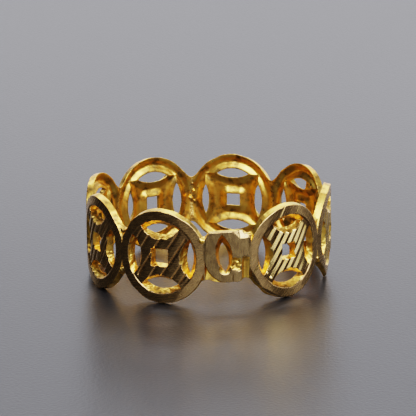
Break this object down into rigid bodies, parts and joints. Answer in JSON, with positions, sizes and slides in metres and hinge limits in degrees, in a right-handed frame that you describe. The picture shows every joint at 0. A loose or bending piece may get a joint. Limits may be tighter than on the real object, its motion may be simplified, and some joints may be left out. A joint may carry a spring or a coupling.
{
  "type": "pierced finger ring",
  "caption": "Gold finger ring, a band of round coin links pierced with square and pointed openings, closed by a narrow sizing section.",
  "frame": {"origin": "centre of the finger opening, half way up the band", "axes": "+Z along the finger opening's axis, up as the ring stands on its coins' edges; -Y through the middle of the sizing section, on the outside of the band"},
  "size_m": [0.018, 0.018, 0.007],
  "materials": {
    "coin_gold": "high-carat yellow gold, filed rims, satin as-cast walls, bright diamond-cut grooves",
    "sizing_gold": "high-carat yellow gold, filed",
    "solder_gold": "gold solder, slightly paler, left rough"
  },
  "bodies": {
    "root": {"coin_1": "coin_gold", "coin_2": "coin_gold", "coin_3": "coin_gold", "coin_4": "coin_gold", "coin_5": "coin_gold", "coin_6": "coin_gold", "coin_7": "coin_gold", "coin_8": "coin_gold", "sizing_link": "sizing_gold", "sizing_plate": "sizing_gold", "solder_1_2": "solder_gold", "solder_2_3": "solder_gold", "solder_3_4": "solder_gold", "solder_4_5": "solder_gold", "solder_5_6": "solder_gold", "solder_6_7": "solder_gold", "solder_7_8": "solder_gold", "solder_8_link": "solder_gold", "solder_link_plate": "solder_gold", "solder_plate_1": "solder_gold"}
  },
  "joints": []
}
